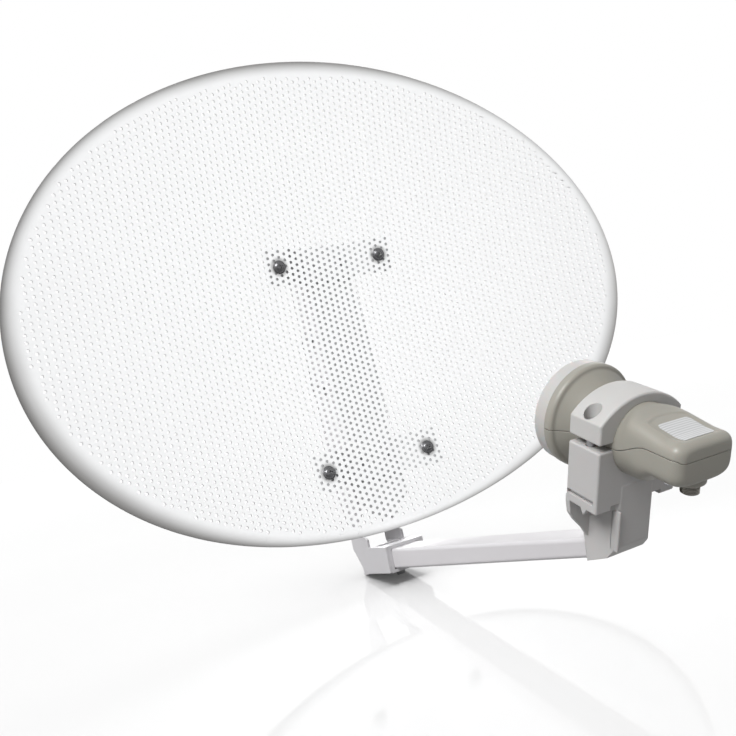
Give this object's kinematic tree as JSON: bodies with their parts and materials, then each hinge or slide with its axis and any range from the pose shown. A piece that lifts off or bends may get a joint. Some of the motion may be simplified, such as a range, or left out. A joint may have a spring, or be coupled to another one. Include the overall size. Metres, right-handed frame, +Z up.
{
  "type": "satellite dish",
  "caption": "Oval offset satellite dish with a rolled rim, a feed arm that carries an LNB in a screwed clamp, and a mast clamp with an elevation pivot behind it.",
  "frame": {"origin": "middle of the mast clamp's bore, on the mast's axis", "axes": "+Z up along the mast, -Y is where the dish faces, +X to the right of someone looking along +Y"},
  "size_m": [0.57, 0.467, 0.4779],
  "materials": {
    "reflector_coat": "near-white powder coat on perforated steel",
    "bracket_steel": "light grey powder coat",
    "clamp_steel": "zinc plated",
    "zinc_steel": "zinc plated",
    "dark_bolt": "dark plated",
    "foot_plastic": "fine moulded grain",
    "arm_coat": "light grey powder coat",
    "holder_plastic": "fine moulded grain",
    "clamp_plastic": "fine moulded grain",
    "case_plastic": "fine moulded grain",
    "cast_metal": "as cast",
    "board": "solder resist",
    "shield_steel": "tinned",
    "probe_brass": "plated",
    "nickel": "nickel plated",
    "insulator": "smooth",
    "seal_rubber": "matt",
    "label_film": "printed film, left blank",
    "cap_plastic": "translucent, smooth"
  },
  "bodies": {
    "mast_mount": {"clamp_half_left": "clamp_steel", "clamp_half_right": "clamp_steel", "pinch_bolts": "zinc_steel", "pinch_nuts": "zinc_steel", "pinch_washers": "zinc_steel", "pivot_bolt": "zinc_steel", "pivot_nut": "zinc_steel", "lock_bolt": "zinc_steel", "lock_nut": "zinc_steel", "elevation_washers": "zinc_steel"},
    "dish_assembly": {"reflector": "reflector_coat", "stem_web": "bracket_steel", "cheek_left": "bracket_steel", "cheek_right": "bracket_steel", "upper_crossbar": "bracket_steel", "lower_crossbar": "bracket_steel", "crossbar_rivets": "zinc_steel", "dish_bolts": "dark_bolt", "dish_washers": "zinc_steel", "dish_nuts": "zinc_steel", "arm_socket": "foot_plastic", "arm": "arm_coat", "arm_screw": "zinc_steel", "arm_nut": "zinc_steel", "arm_end_plug": "foot_plastic", "lnb_holder": "holder_plastic", "holder_screw": "zinc_steel", "nut_plates": "zinc_steel"},
    "cap_assembly": {"clamp_cap": "clamp_plastic", "clamp_screws": "zinc_steel"},
    "lnb": {"upper_shell": "case_plastic", "lower_shell": "case_plastic", "horn_casting": "cast_metal", "circuit_board": "board", "shield_lid": "shield_steel", "probes": "probe_brass", "shell_screws": "zinc_steel", "f_connector": "nickel", "connector_core": "insulator", "connector_seal": "seal_rubber", "cap_seal": "seal_rubber", "lnb_label": "label_film"},
    "weather_cap": {"feed_cap": "cap_plastic"}
  },
  "joints": [
    {"name": "elevation", "type": "hinge", "parent": "mast_mount", "child": "dish_assembly", "pos_m": [0, -0.028, 0.022], "axis": [-1, 0, 0], "range_deg": [0, 25]},
    {"name": "clamp_cap_lift", "type": "slide", "parent": "dish_assembly", "child": "cap_assembly", "axis": [0, -0.36, 0.933], "range_m": [0, 0.012]},
    {"name": "lnb_skew", "type": "hinge", "parent": "dish_assembly", "child": "lnb", "pos_m": [0, -0.3419, -0.0672], "axis": [0, -0.933, -0.36], "range_deg": [-30, 30]},
    {"name": "feed_cap_pull", "type": "slide", "parent": "lnb", "child": "weather_cap", "axis": [0, 0.933, 0.36], "range_m": [0, 0.012]}
  ]
}
